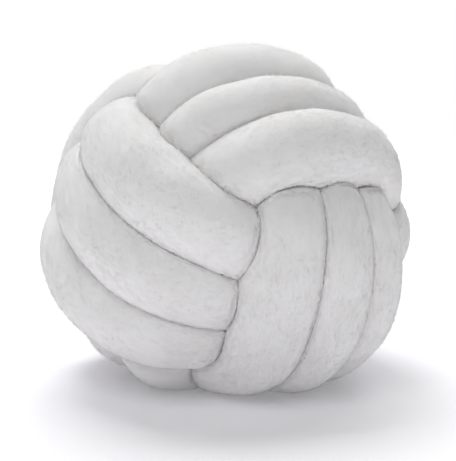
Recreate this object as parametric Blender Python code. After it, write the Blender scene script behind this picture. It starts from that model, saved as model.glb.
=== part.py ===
"""Knot cushion: one long stuffed boucle tube, knotted into a ball.

The tube makes three turns in each of three directions, so that every side of the ball shows three
strands side by side, and the strands of one direction dive under those of the next. The strands
press on each other: each is flattened where it meets a neighbour, and round where it is free.
"""
from collections import namedtuple
from math import pi, radians

import bmesh
import bpy
import numpy as np
from mathutils import Euler

# Driving dimensions, in metres and degrees: how the knot is laid
OUTER_REACH = 0.1130        # knot centre to the middle of the tube where it shows
INNER_REACH = 0.0550        # knot centre to the middle of the tube where it is hidden
DIVE_SHARPNESS = 2.1        # higher keeps a strand outside for longer before it dives
HIDDEN_SPREAD = 26.0        # degrees between the hidden stretches of neighbouring turns
HIDDEN_RADIUS = 0.030       # radius of the tube on its way in and out of a direction
HIDDEN_BULGE = 0.004        # how much fatter the tube is on its hidden passes
KNOT_TURN = (-27.1, -12.5, -137.4)   # how the knot's three directions lie, XYZ Euler degrees
CENTRE_HEIGHT = 0.1077      # knot centre above the surface that the ball rests on
SAG_START = 0.037           # the ball's own weight squashes what is lower than this below the centre
SAG_SHARE = 0.45            # largest share of the depth that the squash takes away
SAG_SOFTNESS = 0.037        # depth over which the squash comes in

# How the strands press on each other and on the surface
CONTACT_GAP = 0.0042        # clear space between strands that lie against each other
SHOULDER = 7.0              # higher squeezes strands to flatter sides with tighter edges
LEAST_REACH = 0.12          # smallest share of its radius to which a strand is pressed
BEND_LIMIT = 0.85           # share of a bend's radius that the tube's inner side may fill
OWN_STRETCH = 0.070         # a strand does not press on itself within this length
FLOOR_EASE = 1.05           # higher makes the flat spot larger
FLOOR_SHARPNESS = 14.0      # higher gives the flat spot a tighter edge
TINY = 0.001                # keeps lengths above zero where they divide

# Where the tube begins and ends, and how it gets from one direction to the next
START_ANGLE = -105.0        # degrees round the first turn at which the tube begins
LINK_ANGLE_IN = -88.0       # where a link meets the next direction's first turn
LINK_ANGLE_OUT = 268.0      # where a link leaves a direction's last turn
END_ANGLE = 285.0           # degrees round the last turn at which the tube ends
SWAP_ANGLE = 40.0           # degrees each side of a hidden pass in which a turn moves over a row
LINK_PULL = 0.9             # how far the links swing out, as a share of their span
END_FACE_DEPTH = 0.004      # the rounded ends close with a flat face this far from their tip

# How finely the shape is worked out
ROUTE_STEPS = 260           # steps for each turn's route
LINK_STEPS = 60             # steps for each link
FINE_SPACING = 0.004        # between points of the middle line
EASING_PASSES = 12          # times that the middle line's corners are rounded off
RING_SPACING = 0.0138       # between cross-sections along the tube
SIDES = 12                  # points round a cross-section

# One row for each turn: where it lies to the side of the middle plane, in degrees, at the front and
# 60 degrees to its right and left, how far front and back stand out or in, and the tube's radius.
Turn = namedtuple("Turn", "front right left front_lift back_lift radius")
TURNS_X = (
    Turn(24.5, 23, 17.5, 0.0, -0.005, 0.0335),
    Turn(3.5, -4.5, -6, -0.001, -0.002, 0.0285),
    Turn(-17, -29.5, -30, 0.002, -0.001, 0.0335),
)
TURNS_Y = (
    Turn(18.5, 23.5, 22, -0.0005, -0.0015, 0.0325),
    Turn(-3.5, -2.5, 3, -0.0015, -0.003, 0.0310),
    Turn(-30, -20, -19, -0.0055, -0.004, 0.0360),
)
TURNS_Z = (
    Turn(17, 22.5, 9, -0.006, 0.002, 0.0350),
    Turn(-1.5, 3.5, -13, 0.005, 0.002, 0.0305),
    Turn(-22.5, -12.5, -27, -0.001, -0.0025, 0.0340),
)
# Knot axes of each direction: out through the shown strands, in through the hidden ones, across
DIRECTIONS = (
    ((2, 0, 1), TURNS_X),
    ((0, 1, 2), TURNS_Y),
    ((1, 2, 0), TURNS_Z),
)
COLOUR = (0.80, 0.79, 0.77, 1.0)
ROUGHNESS = 0.95


def sideways_angle(turn, row, angle):
    """Degrees by which a turn lies beside the middle plane, at an angle round the turn.

    The smooth curve through six stations 60 degrees apart, three of them on the hidden side.
    """
    hidden = HIDDEN_SPREAD * row
    stations = (turn.front, turn.right, hidden, hidden, hidden, turn.left)
    total = np.zeros_like(angle)
    for index, value in enumerate(stations):
        away = angle - radians(60.0 * index)
        weight = (1 + 2 * np.cos(away) + 2 * np.cos(2 * away) + np.cos(3 * away)) / len(stations)
        total += value * weight
    return total


def turn_route(axes, turn, row, angle):
    """One turn's middle line in knot axes, with the tube's radius as a fourth column."""
    side = np.radians(sideways_angle(turn, row, angle))
    hidden = (np.sin(angle) ** 2) ** DIVE_SHARPNESS
    reach = OUTER_REACH - (OUTER_REACH - INNER_REACH) * hidden
    reach += turn.front_lift * np.clip(np.cos(angle), 0, 1) ** 2
    reach += turn.back_lift * np.clip(-np.cos(angle), 0, 1) ** 2
    route = np.zeros((len(angle), 4))
    route[:, axes[0]] = reach * np.cos(side) * np.cos(angle)
    route[:, axes[1]] = reach * np.cos(side) * np.sin(angle)
    route[:, axes[2]] = reach * np.sin(side)
    route[:, 3] = turn.radius + HIDDEN_BULGE * hidden
    return route


def direction_route(axes, turns, first_angle, last_angle):
    """Three turns side by side. Each moves over to the next row on its hidden pass.

    The line comes in from one row further out than the first turn, and leaves to one further out
    than the last, so that four stretches lie side by side where the rows change.
    """
    angles = np.radians(np.linspace(first_angle, last_angle, len(turns) * ROUTE_STEPS))
    way_in, way_out = [Turn(side, side, side, 0.0, 0.0, HIDDEN_RADIUS)
                       for side in (2 * HIDDEN_SPREAD, -2 * HIDDEN_SPREAD)]
    rows = zip((way_in,) + turns + (way_out,), (2, 1, 0, -1, -2))
    lines = [turn_route(axes, turn, row, angles) for turn, row in rows]
    points = lines[0]
    for index, line in enumerate(lines[1:]):
        past_swap = np.degrees(angles) - (360.0 * index - 90.0)
        share = np.clip(past_swap / (2 * SWAP_ANGLE) + 0.5, 0, 1)
        share = (share * share * (3 - 2 * share))[:, None]
        points = points * (1 - share) + line * share
    return points


def link(before, after):
    """The hidden stretch that joins one direction's last turn to the next one's first."""
    start, end = before[-1], after[0]
    start_pull = (before[-1] - before[-2]) / np.linalg.norm((before[-1] - before[-2])[:3])
    end_pull = (after[1] - after[0]) / np.linalg.norm((after[1] - after[0])[:3])
    pull = np.linalg.norm((end - start)[:3]) * LINK_PULL
    t = np.linspace(0, 1, LINK_STEPS)[1:-1, None]
    return ((2 * t ** 3 - 3 * t ** 2 + 1) * start + (t ** 3 - 2 * t ** 2 + t) * pull * start_pull
            + (3 * t ** 2 - 2 * t ** 3) * end + (t ** 3 - t ** 2) * pull * end_pull)


def evenly_spaced(route, spacing):
    """The same line with points at equal distances along it."""
    steps = np.linalg.norm(np.diff(route[:, :3], axis=0), axis=1)
    along = np.concatenate([[0.0], np.cumsum(steps)])
    places = np.linspace(0, along[-1], int(round(along[-1] / spacing)) + 1)
    return np.stack([np.interp(places, along, column) for column in route.T], axis=1)


def eased(route, passes):
    """Rounds off corners by moving each point towards the middle of its neighbours."""
    for _ in range(passes):
        middle = (route[:-2] + route[2:]) / 2
        route[1:-1] += (middle - route[1:-1]) / 2
    return route


def settled(route):
    """Turns the knot to the side it lies on and lets its own weight squash its lower part."""
    turn = np.array(Euler([radians(angle) for angle in KNOT_TURN]).to_matrix())
    route[:, :3] = route[:, :3] @ turn.T
    depth = -SAG_START - route[:, 2]
    low = depth > 0
    route[low, 2] += SAG_SHARE * depth[low] ** 2 / (depth[low] + SAG_SOFTNESS)
    route[:, 2] += CENTRE_HEIGHT
    return route


def whole_route():
    """The tube's middle line from one hidden end to the other."""
    parts = []
    for index, (axes, turns) in enumerate(DIRECTIONS):
        first = START_ANGLE if index == 0 else LINK_ANGLE_IN
        last = END_ANGLE if index == len(DIRECTIONS) - 1 else LINK_ANGLE_OUT
        parts.append(direction_route(axes, turns, first, 360.0 * (len(turns) - 1) + last))
    line = [parts[0]]
    for before, after in zip(parts, parts[1:]):
        line += [link(before, after), after]
    line = evenly_spaced(np.concatenate(line), FINE_SPACING)
    return settled(eased(line, EASING_PASSES))


def cross_directions(middle):
    """Tangent and two unit directions across it at every point, carried along without twist."""
    tangent = np.gradient(middle, axis=0)
    tangent /= np.linalg.norm(tangent, axis=1)[:, None]
    side = np.cross(tangent[0], (0.0, 0.0, 1.0))
    sides = []
    for direction in tangent:
        side = side - direction * (side @ direction)
        side = side / np.linalg.norm(side)
        sides.append(side)
    sides = np.array(sides)
    return tangent, sides, np.cross(tangent, sides)


def contact_reach(centre, directions, line, own):
    """How far a section reaches in each direction before a neighbouring strand presses on it.

    The two meet where a point is as far outside the one strand's own radius as the other's, less
    the gap: with a neighbour's middle point q away, where |q + direction * reach| = reach + k.
    """
    q = centre[:3] - line[:, :3]
    k = line[:, 3] - centre[3] + CONTACT_GAP
    towards = k[None, :] - directions @ q.T
    faces_it = (towards > 0) & ~own[None, :]
    reach = ((q ** 2).sum(axis=1) - k ** 2)[None, :] / (2 * np.where(faces_it, towards, 1.0))
    reach = np.where(faces_it, reach, np.inf).min(axis=1)
    return np.maximum(reach, LEAST_REACH * centre[3])


def blended_least(first, second, sharpness):
    """The smaller of two lengths, with a rounded change from one to the other."""
    return (first ** -sharpness + second ** -sharpness) ** (-1.0 / sharpness)


def sections(line):
    """Cross-sections of the tube, pressed flat against its neighbours and the resting surface."""
    along = np.arange(len(line)) * np.linalg.norm(line[1, :3] - line[0, :3])
    tangent, side, across = cross_directions(line[:, :3])
    bend = np.gradient(tangent, along, axis=0)
    places = np.linspace(0, len(line) - 1, int(along[-1] / RING_SPACING))
    chosen = np.unique(np.round(places).astype(int))
    centres = line[chosen]
    angles = np.linspace(0, 2 * pi, SIDES, endpoint=False)
    directions = (np.cos(angles)[None, :, None] * side[chosen][:, None]
                  + np.sin(angles)[None, :, None] * across[chosen][:, None])
    met = np.array([contact_reach(centre, ways, line, np.abs(along - place) < OWN_STRETCH)
                    for centre, ways, place in zip(centres, directions, along[chosen])])
    inward = (directions * bend[chosen][:, None]).sum(axis=2)
    bend_room = BEND_LIMIT / np.maximum(inward, TINY)
    radius = blended_least(centres[:, 3:], met, SHOULDER)
    radius = blended_least(radius, bend_room, SHOULDER)
    downward = np.maximum(-directions[..., 2], TINY)
    floor_room = np.maximum(centres[:, 2:3], TINY) / downward
    eased_room = blended_least(radius, floor_room * FLOOR_EASE, FLOOR_SHARPNESS)
    radius = np.minimum(eased_room, floor_room)
    from_end = np.minimum(along[chosen], along[-1] - along[chosen]) + END_FACE_DEPTH
    closing = np.clip(from_end / centres[:, 3], 0, 1)
    radius = radius * np.sqrt(1 - (1 - closing) ** 2)[:, None]
    return centres[:, None, :3] + directions * radius[..., None]


def middled(rings):
    """The same cross-sections with their box's middle over the origin and its lowest point on it."""
    points = rings.reshape(-1, 3)
    low, high = points.min(axis=0), points.max(axis=0)
    return rings - np.array([(low[0] + high[0]) / 2, (low[1] + high[1]) / 2, low[2]])


def tube_mesh(rings):
    """A closed loft through the cross-sections."""
    body = bmesh.new()
    loops = [[body.verts.new(point) for point in ring] for ring in rings]
    for near, far in zip(loops, loops[1:]):
        for index in range(SIDES):
            after = (index + 1) % SIDES
            body.faces.new((near[index], near[after], far[after], far[index]))
    body.faces.new(loops[0][::-1])
    body.faces.new(loops[-1])
    bmesh.ops.recalc_face_normals(body, faces=body.faces)
    bmesh.ops.triangulate(body, faces=body.faces)
    mesh = bpy.data.meshes.new("knot_tube")
    body.to_mesh(mesh)
    body.free()
    mesh.shade_smooth()
    return mesh


def boucle():
    """Off-white boucle fabric, quite matt."""
    material = bpy.data.materials.new("boucle")
    material.use_nodes = True
    shader = material.node_tree.nodes["Principled BSDF"]
    shader.inputs["Base Color"].default_value = COLOUR
    shader.inputs["Roughness"].default_value = ROUGHNESS
    shader.inputs["Metallic"].default_value = 0.0
    return material


def knot_tube():
    """The stuffed tube, as it lies in the finished ball."""
    tube = bpy.data.objects.new("knot_tube", tube_mesh(middled(sections(whole_route()))))
    tube.data.materials.append(boucle())
    return tube


def main():
    for item in list(bpy.data.objects):
        bpy.data.objects.remove(item, do_unlink=True)
    collection = bpy.data.collections.new("knot_cushion")
    bpy.context.scene.collection.children.link(collection)
    collection.objects.link(knot_tube())


main()
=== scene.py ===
"""A knot cushion: one long stuffed tube of off-white boucle fleece, tied into a ball.

The tube makes three turns in each of three directions. Its strands press on each other, so every
strand is flattened where it meets a neighbour and round where it is free. A short curly pile of
small tufts covers all that shows.
"""
from collections import namedtuple
from math import cos, pi, radians, sin

import bpy
import numpy as np
from mathutils import Euler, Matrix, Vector
from mathutils.bvhtree import BVHTree


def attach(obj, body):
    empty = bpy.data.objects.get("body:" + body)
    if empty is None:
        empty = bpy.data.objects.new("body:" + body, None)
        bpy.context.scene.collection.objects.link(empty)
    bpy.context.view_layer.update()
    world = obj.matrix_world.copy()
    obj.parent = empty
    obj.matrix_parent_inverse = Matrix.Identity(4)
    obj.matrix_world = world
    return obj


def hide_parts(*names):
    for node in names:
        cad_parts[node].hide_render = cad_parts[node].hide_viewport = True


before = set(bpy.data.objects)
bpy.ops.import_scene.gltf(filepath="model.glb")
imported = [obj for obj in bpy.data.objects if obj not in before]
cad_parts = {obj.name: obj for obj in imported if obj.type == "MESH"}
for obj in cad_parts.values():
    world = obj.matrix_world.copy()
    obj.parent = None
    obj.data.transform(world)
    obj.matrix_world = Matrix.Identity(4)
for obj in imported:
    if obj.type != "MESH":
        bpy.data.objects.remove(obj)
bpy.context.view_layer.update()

TUBE_NODE = "knot_tube"

# ---------------------------------------------------------------------------------------------
# The knot. These sizes and rules are those of the CAD solid, in metres and degrees.
# ---------------------------------------------------------------------------------------------
OUTER_REACH = 0.1130        # knot centre to the middle of the tube where it shows
INNER_REACH = 0.0550        # knot centre to the middle of the tube where it is hidden
DIVE_SHARPNESS = 2.1        # higher keeps a strand outside for longer before it dives
HIDDEN_SPREAD = 26.0        # degrees between the hidden stretches of neighbouring turns
HIDDEN_RADIUS = 0.030       # radius of the tube on its way in and out of a direction
HIDDEN_BULGE = 0.004        # how much fatter the tube is on its hidden passes
KNOT_TURN = (-27.1, -12.5, -137.4)   # how the knot's three directions lie, XYZ Euler degrees
CENTRE_HEIGHT = 0.1077      # knot centre above the surface that the ball rests on
SAG_START = 0.037           # the ball's own weight squashes what is lower than this below the centre
SAG_SHARE = 0.45            # largest share of the depth that the squash takes away
SAG_SOFTNESS = 0.037        # depth over which the squash comes in

# Where the tube begins and ends, and how it gets from one direction to the next
START_ANGLE = -105.0        # degrees round the first turn at which the tube begins
LINK_ANGLE_IN = -88.0       # where a link meets the next direction's first turn
LINK_ANGLE_OUT = 268.0      # where a link leaves a direction's last turn
END_ANGLE = 285.0           # degrees round the last turn at which the tube ends
SWAP_ANGLE = 40.0           # degrees each side of a hidden pass in which a turn moves over a row
LINK_PULL = 0.9             # how far the links swing out, as a share of their span
END_FACE_DEPTH = 0.004      # the rounded ends close with a flat face this far from their tip
ROUTE_STEPS = 260           # steps for each turn's route
LINK_STEPS = 60             # steps for each link
FINE_SPACING = 0.004        # between points of the middle line
EASING_PASSES = 12          # times that the middle line's corners are rounded off

# One row for each turn: where it lies to the side of the middle plane, in degrees, at the front and
# one station to its right and left, how far front and back stand out or in, and the tube's radius.
STATION_STEP = 60.0
Turn = namedtuple("Turn", "front right left front_lift back_lift radius")
TURNS_X = (
    Turn(24.5, 23, 17.5, 0.0, -0.005, 0.0335),
    Turn(3.5, -4.5, -6, -0.001, -0.002, 0.0285),
    Turn(-17, -29.5, -30, 0.002, -0.001, 0.0335),
)
TURNS_Y = (
    Turn(18.5, 23.5, 22, -0.0005, -0.0015, 0.0325),
    Turn(-3.5, -2.5, 3, -0.0015, -0.003, 0.0310),
    Turn(-30, -20, -19, -0.0055, -0.004, 0.0360),
)
TURNS_Z = (
    Turn(17, 22.5, 9, -0.006, 0.002, 0.0350),
    Turn(-1.5, 3.5, -13, 0.005, 0.002, 0.0305),
    Turn(-22.5, -12.5, -27, -0.001, -0.0025, 0.0340),
)
# Knot axes of each direction: out through the shown strands, in through the hidden ones, across
DIRECTIONS = (
    ((2, 0, 1), TURNS_X),
    ((0, 1, 2), TURNS_Y),
    ((1, 2, 0), TURNS_Z),
)

# ---------------------------------------------------------------------------------------------
# The cloth tube, as it is sewn and stuffed. It follows the CAD solid's middle line, but its strands
# are pressed to flatter sides with tighter edges (the CAD solid's shoulder is 7), and they lie closer
# together (the CAD solid leaves 4.2 mm between them).
# ---------------------------------------------------------------------------------------------
PRESSED_GAP = 0.0003        # between two strands that press on each other
SHOULDER = 45.0             # higher squeezes strands to flatter sides with tighter edges
LEAST_REACH = 0.12          # smallest share of its radius to which a strand is pressed
BEND_LIMIT = 0.85           # share of a bend's radius that the tube's inner side may fill
OWN_STRETCH = 0.070         # a strand does not press on itself within this length
FLOOR_EASE = 1.05           # higher makes the flat spot larger
FLOOR_SHARPNESS = 14.0      # higher gives the flat spot a tighter edge
TINY = 0.001                # keeps lengths above zero where they divide
RING_SPACING = 0.0037       # between cross-sections along the tube
SIDES = 64                  # points round a cross-section

# Uneven filling: waves in the tube's radius. How long each is along the tube, how many of them go
# round it, how high it is and where it starts, in radians.
Wave = namedtuple("Wave", "length round height start")
FILLING_WAVES = (
    Wave(0.127, 1, 0.00050, 0.4),
    Wave(0.083, 2, 0.00045, 2.1),
    Wave(0.061, 1, 0.00040, 4.4),
    Wave(0.047, 3, 0.00035, 1.2),
    Wave(0.033, 2, 0.00025, 5.3),
)


def sideways_angle(turn, row, angle):
    """Degrees by which a turn lies beside the middle plane, at an angle round the turn."""
    hidden = HIDDEN_SPREAD * row
    stations = (turn.front, turn.right, hidden, hidden, hidden, turn.left)
    # a smooth curve through six stations round the turn, three of them hidden
    total = np.zeros_like(angle)
    for index, value in enumerate(stations):
        away = angle - radians(STATION_STEP * index)
        weight = (1 + 2 * np.cos(away) + 2 * np.cos(2 * away) + np.cos(3 * away)) / 6
        total += value * weight
    return total


def turn_route(axes, turn, row, angle):
    """One turn's middle line in knot axes, with the tube's radius as a fourth column."""
    side = np.radians(sideways_angle(turn, row, angle))
    hidden = (np.sin(angle) ** 2) ** DIVE_SHARPNESS
    reach = OUTER_REACH - (OUTER_REACH - INNER_REACH) * hidden
    reach += turn.front_lift * np.clip(np.cos(angle), 0, 1) ** 2
    reach += turn.back_lift * np.clip(-np.cos(angle), 0, 1) ** 2
    route = np.zeros((len(angle), 4))
    route[:, axes[0]] = reach * np.cos(side) * np.cos(angle)
    route[:, axes[1]] = reach * np.cos(side) * np.sin(angle)
    route[:, axes[2]] = reach * np.sin(side)
    route[:, 3] = turn.radius + HIDDEN_BULGE * hidden
    return route


def direction_route(axes, turns, first_angle, last_angle):
    """Three turns side by side. Each moves over to the next row on its hidden pass.

    The line comes in from one row further out than the first turn, and leaves to one further out than
    the last, so that four stretches lie side by side where the rows change.
    """
    angles = np.radians(np.linspace(first_angle, last_angle, len(turns) * ROUTE_STEPS))
    way_in, way_out = [Turn(side, side, side, 0, 0, HIDDEN_RADIUS)
                       for side in (2 * HIDDEN_SPREAD, -2 * HIDDEN_SPREAD)]
    rows = zip((way_in,) + turns + (way_out,), (2, 1, 0, -1, -2))
    lines = [turn_route(axes, turn, row, angles) for turn, row in rows]
    points = lines[0]
    for index, line in enumerate(lines[1:]):
        swap = np.degrees(angles) - (360.0 * index - 90.0)
        share = np.clip(swap / (2 * SWAP_ANGLE) + 0.5, 0, 1)
        share = (share * share * (3 - 2 * share))[:, None]
        points = points * (1 - share) + line * share
    return points


def link(before, after):
    """The hidden stretch that joins one direction's last turn to the next one's first."""
    start, end = before[-1], after[0]
    start_pull = (before[-1] - before[-2]) / np.linalg.norm((before[-1] - before[-2])[:3])
    end_pull = (after[1] - after[0]) / np.linalg.norm((after[1] - after[0])[:3])
    pull = np.linalg.norm((end - start)[:3]) * LINK_PULL
    t = np.linspace(0, 1, LINK_STEPS)[1:-1, None]
    return ((2 * t ** 3 - 3 * t ** 2 + 1) * start + (t ** 3 - 2 * t ** 2 + t) * pull * start_pull
            + (3 * t ** 2 - 2 * t ** 3) * end + (t ** 3 - t ** 2) * pull * end_pull)


def evenly_spaced(route, spacing):
    """The same line with points at equal distances along it."""
    steps = np.linalg.norm(np.diff(route[:, :3], axis=0), axis=1)
    along = np.concatenate([[0.0], np.cumsum(steps)])
    places = np.linspace(0, along[-1], int(round(along[-1] / spacing)) + 1)
    return np.stack([np.interp(places, along, column) for column in route.T], axis=1)


def eased(route, passes):
    """Rounds off corners by moving each point towards the middle of its neighbours."""
    for _ in range(passes):
        middle = (route[:-2] + route[2:]) / 2
        route[1:-1] += (middle - route[1:-1]) / 2
    return route


def settled(route):
    """Turns the knot to the side it lies on and lets its own weight squash its lower part."""
    turn = np.array(Euler([radians(a) for a in KNOT_TURN]).to_matrix())
    route[:, :3] = route[:, :3] @ turn.T
    depth = -SAG_START - route[:, 2]
    low = depth > 0
    route[low, 2] += SAG_SHARE * depth[low] ** 2 / (depth[low] + SAG_SOFTNESS)
    route[:, 2] += CENTRE_HEIGHT
    return route


def whole_route():
    """The tube's middle line from one hidden end to the other."""
    parts = []
    for index, (axes, turns) in enumerate(DIRECTIONS):
        first = START_ANGLE if index == 0 else LINK_ANGLE_IN
        last = END_ANGLE if index == len(DIRECTIONS) - 1 else LINK_ANGLE_OUT
        parts.append(direction_route(axes, turns, first, 360.0 * (len(turns) - 1) + last))
    line = [parts[0]]
    for before, after in zip(parts, parts[1:]):
        line += [link(before, after), after]
    line = evenly_spaced(np.concatenate(line), FINE_SPACING)
    return settled(eased(line, EASING_PASSES))


def cross_directions(middle):
    """Tangent and two unit directions across it at every point, carried along without twist."""
    tangent = np.gradient(middle, axis=0)
    tangent /= np.linalg.norm(tangent, axis=1)[:, None]
    side = np.cross(tangent[0], (0.0, 0.0, 1.0))
    sides = []
    for direction in tangent:
        side = side - direction * (side @ direction)
        side = side / np.linalg.norm(side)
        sides.append(side)
    sides = np.array(sides)
    return tangent, sides, np.cross(tangent, sides)


def contact_reach(centre, directions, line, own):
    """How far a section reaches in each direction before a neighbouring strand presses on it.

    It stops where a point is as far outside its own radius as outside the neighbour's, less the gap:
    with a neighbour's middle point q away, where |q + direction * reach| = reach + k.
    """
    q = centre[:3] - line[:, :3]
    k = line[:, 3] - centre[3] + PRESSED_GAP
    towards = k[None, :] - directions @ q.T
    faces_it = (towards > 0) & ~own[None, :]
    reach = ((q ** 2).sum(axis=1) - k ** 2)[None, :] / (2 * np.where(faces_it, towards, 1.0))
    reach = np.where(faces_it, reach, np.inf).min(axis=1)
    return np.maximum(reach, LEAST_REACH * centre[3])


def blended_least(first, second, sharpness):
    """The smaller of two lengths, with a rounded change from one to the other."""
    return (first ** -sharpness + second ** -sharpness) ** (-1.0 / sharpness)


def filling_lumps(along, angles):
    """How much further out the uneven filling pushes the cloth, along the tube and round it."""
    lumps = np.zeros((len(along), len(angles)))
    for wave in FILLING_WAVES:
        turn = 2 * pi * along[:, None] / wave.length + wave.start
        lumps += wave.height * np.sin(turn) * np.cos(wave.round * angles[None, :] + turn / 3)
    return lumps


def sections(line):
    """Cross-sections of the tube, pressed flat against its neighbours and the resting surface."""
    line = evenly_spaced(line, RING_SPACING)
    along = np.arange(len(line)) * np.linalg.norm(line[1, :3] - line[0, :3])
    tangent, side, across = cross_directions(line[:, :3])
    bend = np.gradient(tangent, along, axis=0)
    angles = np.linspace(0, 2 * pi, SIDES, endpoint=False)
    directions = (np.cos(angles)[None, :, None] * side[:, None]
                  + np.sin(angles)[None, :, None] * across[:, None])
    met = np.array([contact_reach(centre, ways, line, np.abs(along - place) < OWN_STRETCH)
                    for centre, ways, place in zip(line, directions, along)])
    inward = (directions * bend[:, None]).sum(axis=2)
    bend_room = BEND_LIMIT / np.maximum(inward, TINY)
    radius = blended_least(line[:, 3:] + filling_lumps(along, angles), met, SHOULDER)
    radius = blended_least(radius, bend_room, SHOULDER)
    downward = np.maximum(-directions[..., 2], TINY)
    floor_room = np.maximum(line[:, 2:3], TINY) / downward
    eased_room = blended_least(radius, floor_room * FLOOR_EASE, FLOOR_SHARPNESS)
    radius = np.minimum(eased_room, floor_room)
    from_end = np.minimum(along, along[-1] - along) + END_FACE_DEPTH
    closing = np.clip(from_end / line[:, 3], 0, 1)
    radius = radius * np.sqrt(1 - (1 - closing) ** 2)[:, None]
    return line[:, None, :3] + directions * radius[..., None]


def middled(rings):
    """The same cross-sections with their box's middle over the origin and its lowest point on it."""
    points = rings.reshape(-1, 3)
    low, high = points.min(axis=0), points.max(axis=0)
    return rings - np.array([(low[0] + high[0]) / 2, (low[1] + high[1]) / 2, low[2]])


def side_faces(rings):
    """Corner numbers of the loft's four-sided faces, between each two neighbouring sections."""
    first = np.arange((rings - 1) * SIDES).reshape(rings - 1, SIDES)
    after = np.roll(first, -1, axis=1)
    quads = np.stack([first, after, after + SIDES, first + SIDES], axis=-1)
    return quads.reshape(-1, 4).tolist()


def stuffed_tube(rings, cloth):
    """The cloth tube with its filling, closed at both ends."""
    last = (len(rings) - 1) * SIDES
    ends = [list(range(SIDES))[::-1], list(range(last, last + SIDES))]
    mesh = bpy.data.meshes.new("stuffed_tube")
    mesh.from_pydata(rings.reshape(-1, 3).tolist(), [], side_faces(len(rings)) + ends)
    mesh.shade_smooth()
    mesh.materials.append(cloth)
    tube = bpy.data.objects.new("stuffed_tube", mesh)
    bpy.context.scene.collection.objects.link(tube)
    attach(tube, "root")
    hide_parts(TUBE_NODE)


# ---------------------------------------------------------------------------------------------
# The pile: short curled tufts, a little larger and turned outwards in the creases
# ---------------------------------------------------------------------------------------------
TUFT_LENGTH = 0.0042        # along the lock
TUFT_WIDTH = 0.0015
TUFT_HEIGHT = 0.00030       # above the cloth
TUFT_CRISPNESS = 0.08       # 0 shades the pile as one soft surface, 1 as hard lumps
TUFT_SPREAD = (0.75, 1.25)  # smallest and largest tuft, as a share of these sizes
CREASE_SIZE = 1.3           # size of a tuft deep in a crease, as a share of one in the open
CREASE_RISE = 2.0           # the same for its height
CREASE_LEAN = 2.0           # higher turns more of the pile in the creases outwards
TUFTS_ALONG = 0.00110       # between rows of tufts along the tube
TUFTS_ROUND = 156           # tufts in a row round the tube
TUFT_STRAY = 0.8            # how far a tuft strays from its place in the rows, as a share of spacing
END_MARGIN = 0.001          # keeps a tuft before the last cross-section, as a share of their spacing
LEAST_OPEN = 0.05           # share of the way out that has to be free for a tuft to be seen
LEAST_HEIGHT = 0.0012       # no pile where the cloth lies on the surface
LOWEST_TIP = 0.0003         # the pile's tips stay above the surface
PILE_SEED = 11
PILE_PIECES = 4
TUFTS_A_PIECE = 33100       # at most, so that a piece stays under 200,000 triangles

# How open a place on the cloth is, looked at from just above it
LOOK_START = 0.0012         # above the cloth, where the look outwards starts
LOOK_LENGTH = 0.10          # how far out a way has to be free
SIDE_TURN = (0.01, 0.02, 0.03)     # keeps the sideways looks defined where out and normal agree
NO_LENGTH = 1e-12           # keeps a normal defined where cross-sections close to a point
CORE_REACH = 0.095          # nothing nearer to the knot's centre than this can be seen

# The lock's own shape before it curls, for a lock 1 long: a cone with three sides, laid down
TUFT_END_RADIUS = 0.58
TUFT_HALF = 0.5
TUFT_UNDERSIDE = 0.29       # how far the cone's lower side lies below its middle line
CROWN_RISE = 0.13           # brings the ridge up to a height of 1 above the cloth
CROWN_HEIGHT = 0.6          # the points above this are the crown
NEAR_ENOUGH = 0.01          # a point this close to a place is the point at that place

# Tufts of pile: how far each tip turns sideways and rises from the cloth, how far the crown leans,
# and how wide the tuft is. Shares of the tuft's width and height. The last two are stray hairs.
Curl = namedtuple("Curl", "near_aside far_aside near_rise far_rise lean width")
CURLS = (
    Curl(0.7, 0.8, -0.5, -0.4, 0.2, 1.0),
    Curl(-0.8, 0.6, -0.5, -0.5, -0.3, 1.0),
    Curl(0.9, -0.5, -0.5, -0.3, 0.1, 1.0),
    Curl(-0.4, -1.0, -0.4, -0.1, 0.3, 1.0),
    Curl(-0.5, 0.4, -0.6, -0.3, 0.0, 1.0),
    Curl(0.5, 3.0, -0.6, 6.0, 0.0, 0.08),
    Curl(-0.5, -2.0, -0.6, 4.6, 0.0, 0.08),
)


def outward_normals(rings):
    """Unit normals of the tube's surface at every point of its cross-sections."""
    along = np.gradient(rings, axis=0)
    around = np.roll(rings, -1, axis=1) - np.roll(rings, 1, axis=1)
    normal = np.cross(around, along)
    normal = normal / np.maximum(np.linalg.norm(normal, axis=-1, keepdims=True), NO_LENGTH)
    outward = (normal * (rings - rings.mean(axis=1, keepdims=True))).sum(axis=-1)
    return normal * np.sign(outward.mean())


def open_share(rings, normals):
    """How much of the way out is free at every point, from 0 inside the knot to 1 outside."""
    tree = BVHTree.FromPolygons(rings.reshape(-1, 3).tolist(), side_faces(len(rings)))
    from_middle = rings - np.array((0.0, 0.0, CENTRE_HEIGHT))
    far = np.linalg.norm(from_middle, axis=-1)
    out = from_middle / far[..., None]
    starts = rings + normals * LOOK_START
    share = np.zeros(rings.shape[:2])
    for ring, point in zip(*np.nonzero(far > CORE_REACH)):
        start = Vector(starts[ring, point])
        normal = Vector(normals[ring, point])
        outward = Vector(out[ring, point])
        side = normal.cross(outward + Vector(SIDE_TURN)).normalized()
        ways = (outward, (outward + normal).normalized(), (outward + side).normalized(),
                (outward - side).normalized())
        free = sum(tree.ray_cast(start, way, LOOK_LENGTH)[0] is None for way in ways)
        share[ring, point] = free / len(ways)
    return share


def select_where(piece, wanted):
    """Leaves only the points that pass the test selected, in edit mode."""
    bpy.ops.object.mode_set(mode="EDIT")
    bpy.ops.mesh.select_mode(type="VERT")
    bpy.ops.mesh.select_all(action="DESELECT")
    bpy.ops.object.mode_set(mode="OBJECT")
    for vertex in piece.data.vertices:
        vertex.select = wanted(vertex.co)
    bpy.ops.object.mode_set(mode="EDIT")


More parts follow.
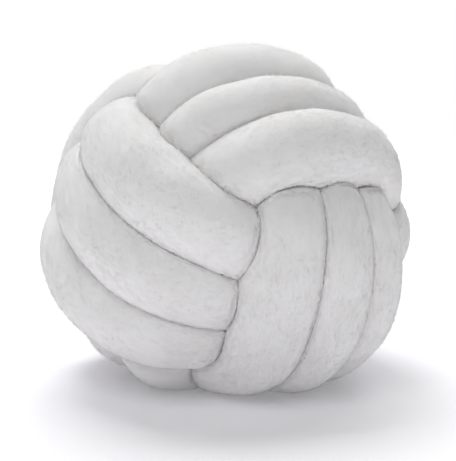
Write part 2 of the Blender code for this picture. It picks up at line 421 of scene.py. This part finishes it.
def tuft_shape(curl):
    """One curled lock of pile, 1 long, 1 wide and 1 high: three-sided, with a ridge on top, thickest
    in the middle and drawn out to two tips that turn sideways."""
    bpy.ops.object.select_all(action="DESELECT")
    bpy.ops.mesh.primitive_cone_add(vertices=3, radius1=TUFT_END_RADIUS, depth=TUFT_HALF,
                                    end_fill_type="TRIFAN", location=(TUFT_HALF / 2, 0.0, 0.0),
                                    rotation=(0.0, pi / 2, 0.0))
    tuft = bpy.context.object
    bpy.ops.object.transform_apply(location=True, rotation=True, scale=True)
    bpy.ops.object.mode_set(mode="EDIT")
    bpy.ops.mesh.select_all(action="SELECT")
    bpy.ops.transform.rotate(value=-pi / 2, orient_axis="X", center_override=(0.0, 0.0, 0.0))
    bpy.ops.transform.translate(value=(0.0, 0.0, TUFT_UNDERSIDE))
    bpy.ops.object.mode_set(mode="OBJECT")
    hub = Vector((0.0, 0.0, TUFT_UNDERSIDE))
    select_where(tuft, lambda co: all(abs(gap) < NEAR_ENOUGH for gap in co - hub))
    bpy.ops.transform.translate(value=(-TUFT_HALF, curl.near_aside, curl.near_rise - TUFT_UNDERSIDE))
    select_where(tuft, lambda co: co.x > TUFT_HALF - NEAR_ENOUGH)
    bpy.ops.transform.translate(value=(0.0, curl.far_aside, curl.far_rise - TUFT_UNDERSIDE))
    select_where(tuft, lambda co: abs(co.x) < NEAR_ENOUGH and co.z > CROWN_HEIGHT)
    bpy.ops.transform.translate(value=(0.0, curl.lean, CROWN_RISE))
    bpy.ops.object.mode_set(mode="OBJECT")
    points = np.array([vertex.co for vertex in tuft.data.vertices]) * (1.0, curl.width, 1.0)
    faces = np.array([list(face.vertices) for face in tuft.data.polygons])
    bpy.data.objects.remove(tuft, do_unlink=True)
    return points, faces


def tuft_places(rings, normals, share, random):
    """Places in staggered rows all over the tube, each a little off its row, with the cloth's
    normal and open share there."""
    rows = int((len(rings) - 1) * RING_SPACING / TUFTS_ALONG)
    stagger = 0.5 * (np.arange(rows) % 2)[:, None]
    row = np.arange(rows)[:, None] + TUFT_STRAY * random.random((rows, TUFTS_ROUND))
    column = np.arange(TUFTS_ROUND)[None, :] + stagger + TUFT_STRAY * random.random((rows, TUFTS_ROUND))
    row = np.clip(row.ravel() * TUFTS_ALONG / RING_SPACING, 0, len(rings) - 1 - END_MARGIN)
    column = (column.ravel() * SIDES / TUFTS_ROUND) % SIDES
    ring, point = row.astype(int), column.astype(int)
    after = (point + 1) % SIDES
    u, v = (row - ring)[:, None], (column - point)[:, None]

    def read(grid):
        grid = grid.reshape(len(rings), SIDES, -1)
        near = grid[ring, point] * (1 - v) + grid[ring, after] * v
        far = grid[ring + 1, point] * (1 - v) + grid[ring + 1, after] * v
        return near * (1 - u) + far * u

    return read(rings), read(normals), read(share)[:, 0]


def standing_way(place, normal, free):
    """The way in which the pile stands: off the cloth where it is free, and out of the crease, so
    that it closes over the crease, where strands press on each other."""
    outward = place - np.array((0.0, 0.0, CENTRE_HEIGHT))
    outward /= np.linalg.norm(outward, axis=1)[:, None]
    normal = normal / np.linalg.norm(normal, axis=1)[:, None]
    share = free[:, None]
    way = normal * share + outward * (1 - share) * CREASE_LEAN
    return way / np.linalg.norm(way, axis=1)[:, None]


def grow_pile(rings, cloth):
    """Sets tufts all over the cloth that shows, in a few pieces of joined tufts."""
    normals = outward_normals(rings)
    share = open_share(rings, normals)
    random = np.random.default_rng(PILE_SEED)
    place, normal, free = tuft_places(rings, normals, share, random)
    grown = np.nonzero((free > LEAST_OPEN) & (place[:, 2] > LEAST_HEIGHT))[0]
    grown = np.sort(random.permutation(grown)[:PILE_PIECES * TUFTS_A_PIECE])
    place, normal, free = place[grown], normal[grown], free[grown]
    up = standing_way(place, normal, free)
    length_way = np.cross(up, random.normal(size=place.shape))
    length_way /= np.linalg.norm(length_way, axis=1)[:, None]
    width_way = np.cross(up, length_way)
    count = len(place)
    length, width, height = [
        full * (in_crease + (1 - in_crease) * free) * random.uniform(*TUFT_SPREAD, count)
        for full, in_crease in ((TUFT_LENGTH, CREASE_SIZE), (TUFT_WIDTH, CREASE_SIZE),
                                (TUFT_HEIGHT, CREASE_RISE))]
    frames = np.stack([length_way * length[:, None], width_way * width[:, None],
                       up * height[:, None]], axis=1)
    shapes = [tuft_shape(curl) for curl in CURLS]
    kinds = random.integers(0, len(shapes), count)
    pieces = np.arange(count) * PILE_PIECES // count
    for piece in range(PILE_PIECES):
        corners, faces, standing, used = [], [], [], 0
        for kind, (points, triangles) in enumerate(shapes):
            ours = (kinds == kind) & (pieces == piece)
            tufts = place[ours][:, None] + points @ frames[ours]
            firsts = used + np.arange(len(tufts)) * len(points)
            faces.append((firsts[:, None, None] + triangles[None]).reshape(-1, 3))
            corners.append(tufts.reshape(-1, 3))
            standing.append(np.repeat(up[ours], len(points), axis=0))
            used += len(corners[-1])
        pile_piece("pile_%d" % (piece + 1), np.concatenate(corners), np.concatenate(faces),
                   np.concatenate(standing), cloth)


def pile_piece(name, corners, faces, standing, cloth):
    """One piece of the pile, clear of the surface that the ball rests on. Its fibres scatter light,
    so that its normals lean towards the way in which the pile stands."""
    corners[:, 2] = np.maximum(corners[:, 2], LOWEST_TIP)
    mesh = bpy.data.meshes.new(name)
    mesh.from_pydata(corners.tolist(), [], faces.tolist())
    mesh.shade_smooth()
    own = np.zeros(len(corners) * 3)
    mesh.vertices.foreach_get("normal", own)
    soft = own.reshape(-1, 3) * TUFT_CRISPNESS + standing * (1 - TUFT_CRISPNESS)
    soft /= np.linalg.norm(soft, axis=1)[:, None]
    mesh.normals_split_custom_set_from_vertices(soft.tolist())
    mesh.materials.append(cloth)
    pile = bpy.data.objects.new(name, mesh)
    bpy.context.scene.collection.objects.link(pile)
    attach(pile, "root")


# ---------------------------------------------------------------------------------------------
# The fleece
# ---------------------------------------------------------------------------------------------
PALE_SHADE = "#F5F4F3"
PALE_LIGHT = "#F9F8F8"
CLOUD_SCALE = 50.0          # clouds of tint 20 mm across
CLOUD_EDGES = (0.35, 0.65)  # between these values of the cloud the tint goes from shade to light
FIBRE_SCALE = 1400.0        # fibres 0.7 mm across, coarser than the real ones
FIBRE_RAGGEDNESS = 0.6
NOISE_DETAIL = 2.0
FIBRE_RELIEF = 0.15         # how strongly the fibres shade
FIBRE_DEPTH = 0.0004
MATT = 0.95
SHEEN, SHEEN_SPREAD = 0.25, 0.6
LEAST_GLOSS = 0.1


def linear(hex_colour):
    """An sRGB hex colour as linear RGBA."""
    values = [int(hex_colour[i:i + 2], 16) / 255 for i in (1, 3, 5)]
    return [v / 12.92 if v <= 0.04045 else ((v + 0.055) / 1.055) ** 2.4 for v in values] + [1.0]


def add_node(tree, kind, settings=None, **inputs):
    """A node of one kind with its settings, and a value or another node's output for each input."""
    node = tree.nodes.new(kind)
    for name, value in (settings or {}).items():
        setattr(node, name, value)
    for name, value in inputs.items():
        socket = node.inputs[name.replace("_", " ")]
        if isinstance(value, bpy.types.NodeSocket):
            tree.links.new(value, socket)
        else:
            socket.default_value = value
    return node


def fleece():
    """Brushed boucle fleece of polyester: very pale, matt, with a faint sheen where it is seen along
    the pile."""
    material = bpy.data.materials.new("polyester boucle fleece")
    material.use_nodes = True
    tree = material.node_tree
    shader = tree.nodes["Principled BSDF"]
    where = add_node(tree, "ShaderNodeTexCoord").outputs["Object"]
    # soft clouds, where the pile lies this way or that
    cloud = add_node(tree, "ShaderNodeTexNoise", Vector=where, Scale=CLOUD_SCALE, Detail=NOISE_DETAIL)
    tint = add_node(tree, "ShaderNodeValToRGB", Fac=cloud.outputs["Fac"])
    tint.color_ramp.elements[0].position = CLOUD_EDGES[0]
    tint.color_ramp.elements[0].color = linear(PALE_SHADE)
    tint.color_ramp.elements[1].position = CLOUD_EDGES[1]
    tint.color_ramp.elements[1].color = linear(PALE_LIGHT)
    tree.links.new(tint.outputs["Color"], shader.inputs["Base Color"])
    # fine fibres, seen as a faint roughness of the surface
    fibre = add_node(tree, "ShaderNodeTexNoise", Vector=where, Scale=FIBRE_SCALE, Detail=NOISE_DETAIL,
                     Roughness=FIBRE_RAGGEDNESS)
    relief = add_node(tree, "ShaderNodeBump", Height=fibre.outputs["Fac"], Strength=FIBRE_RELIEF,
                      Distance=FIBRE_DEPTH)
    tree.links.new(relief.outputs["Normal"], shader.inputs["Normal"])
    shader.inputs["Roughness"].default_value = MATT
    shader.inputs["Sheen Weight"].default_value = SHEEN
    shader.inputs["Sheen Roughness"].default_value = SHEEN_SPREAD
    shader.inputs["Specular IOR Level"].default_value = LEAST_GLOSS
    return material


# ---------------------------------------------------------------------------------------------
# The studio: a camera 1.2 m from the knot and a little above it, white all round, three soft lamps
# ---------------------------------------------------------------------------------------------
IMAGE_WIDTH, IMAGE_HEIGHT = 456, 461
CAMERA_DISTANCE = 1.2074
CAMERA_ELEVATION = radians(10.22)
FOCAL_PIXELS = 1579.3
SENSOR_WIDTH = 36.0         # mm
CENTRE_COLUMN, CENTRE_ROW = 227.31, 235.86   # where the knot's centre falls in the image
FLOOR_RADIUS = 1.6
FLOOR_COLOUR = "#F2F1F5"
FLOOR_SIDES = 128
# The floor gives off light of its own, faint by the ball and stronger outwards, so that it meets the
# white background without a line. GLOW_STRETCH scales distances sideways, front to back and upwards,
# so that the glow comes nearer at the sides than in front and behind. These distances are in metres
# as scaled.
NEAR_GLOW = 0.12
FAR_GLOW = 0.70
NEAR_GLOW_ENDS = 0.15
FAR_GLOW_STARTS = 0.70
GLOW_STRETCH = (1.6, 0.9, 1.0)
SKY_STRENGTH = 0.26
AIM = (0.0, 0.0, 0.12)      # all lamps point here, near the middle of the ball
LAMP_DISTANCE = 1.8
LAMP_SIZE = 1.0
# Lamps: degrees round from the camera's side towards the right, degrees up, and power in watts
Lamp = namedtuple("Lamp", "name round up power")
LAMPS = (
    Lamp("back lamp", -155.0, 64.0, 19.6),
    Lamp("front lamp", -14.0, 50.0, 6.5),
    Lamp("side lamp", 150.0, 50.0, 6.0),
)


def add_camera():
    """The camera, level across and tilted down at the ball, with its picture shifted to frame it."""
    data = bpy.data.cameras.new("camera")
    data.sensor_fit = "HORIZONTAL"
    data.sensor_width = SENSOR_WIDTH
    data.lens = FOCAL_PIXELS * data.sensor_width / IMAGE_WIDTH
    data.shift_x = -(CENTRE_COLUMN - IMAGE_WIDTH / 2) / IMAGE_WIDTH
    data.shift_y = (CENTRE_ROW - IMAGE_HEIGHT / 2) / IMAGE_WIDTH
    camera = bpy.data.objects.new("camera", data)
    bpy.context.scene.collection.objects.link(camera)
    camera.location = (0.0, -CAMERA_DISTANCE * cos(CAMERA_ELEVATION),
                       CENTRE_HEIGHT + CAMERA_DISTANCE * sin(CAMERA_ELEVATION))
    camera.rotation_euler = (pi / 2 - CAMERA_ELEVATION, 0.0, 0.0)
    bpy.context.scene.camera = camera


def add_floor():
    """A matt white floor that gives off more light of its own further out."""
    bpy.ops.object.select_all(action="DESELECT")
    bpy.ops.mesh.primitive_circle_add(vertices=FLOOR_SIDES, radius=FLOOR_RADIUS, fill_type="NGON")
    floor = bpy.context.object
    floor.name = "floor"
    material = bpy.data.materials.new("matt white floor")
    material.use_nodes = True
    tree = material.node_tree
    shader = tree.nodes["Principled BSDF"]
    shader.inputs["Base Color"].default_value = linear(FLOOR_COLOUR)
    shader.inputs["Roughness"].default_value = 1.0
    shader.inputs["Specular IOR Level"].default_value = 0.0
    shader.inputs["Emission Strength"].default_value = 1.0
    # the gradient is 1 in the middle and 0 from 1 m on
    where = add_node(tree, "ShaderNodeTexCoord").outputs["Object"]
    scaled = add_node(tree, "ShaderNodeMapping", Vector=where, Scale=GLOW_STRETCH)
    nearness = add_node(tree, "ShaderNodeTexGradient", {"gradient_type": "SPHERICAL"},
                        Vector=scaled.outputs["Vector"])
    glow = add_node(tree, "ShaderNodeValToRGB", Fac=nearness.outputs["Fac"])
    glow.color_ramp.elements[0].position = 1.0 - FAR_GLOW_STARTS
    glow.color_ramp.elements[0].color = (FAR_GLOW, FAR_GLOW, FAR_GLOW, 1.0)
    glow.color_ramp.elements[1].position = 1.0 - NEAR_GLOW_ENDS
    glow.color_ramp.elements[1].color = (NEAR_GLOW, NEAR_GLOW, NEAR_GLOW, 1.0)
    tree.links.new(glow.outputs["Color"], shader.inputs["Emission Color"])
    floor.data.materials.append(material)


def add_lights():
    """Large soft lamps, and a faint light from all round that the camera sees as plain white."""
    world = bpy.data.worlds.new("studio")
    world.use_nodes = True
    tree = world.node_tree
    sky = tree.nodes["Background"]
    sky.inputs["Color"].default_value = (1.0, 1.0, 1.0, 1.0)
    sky.inputs["Strength"].default_value = SKY_STRENGTH
    white = add_node(tree, "ShaderNodeBackground", Color=(1.0, 1.0, 1.0, 1.0), Strength=1.0)
    seen = add_node(tree, "ShaderNodeLightPath").outputs["Is Camera Ray"]
    mix = add_node(tree, "ShaderNodeMixShader")
    tree.links.new(seen, mix.inputs[0])
    tree.links.new(sky.outputs[0], mix.inputs[1])
    tree.links.new(white.outputs[0], mix.inputs[2])
    tree.links.new(mix.outputs[0], tree.nodes["World Output"].inputs["Surface"])
    bpy.context.scene.world = world
    for lamp in LAMPS:
        side, up = radians(lamp.round), radians(lamp.up)
        way = Vector((sin(side) * cos(up), -cos(side) * cos(up), sin(up)))
        data = bpy.data.lights.new(lamp.name, "AREA")
        data.size = LAMP_SIZE
        data.energy = lamp.power
        light = bpy.data.objects.new(lamp.name, data)
        bpy.context.scene.collection.objects.link(light)
        light.location = Vector(AIM) + way * LAMP_DISTANCE
        light.rotation_euler = way.to_track_quat("Z", "Y").to_euler()
    bpy.context.scene.view_settings.view_transform = "Standard"


add_camera()
add_floor()
add_lights()
cloth = fleece()
rings = middled(sections(whole_route()))
stuffed_tube(rings, cloth)
grow_pile(rings, cloth)
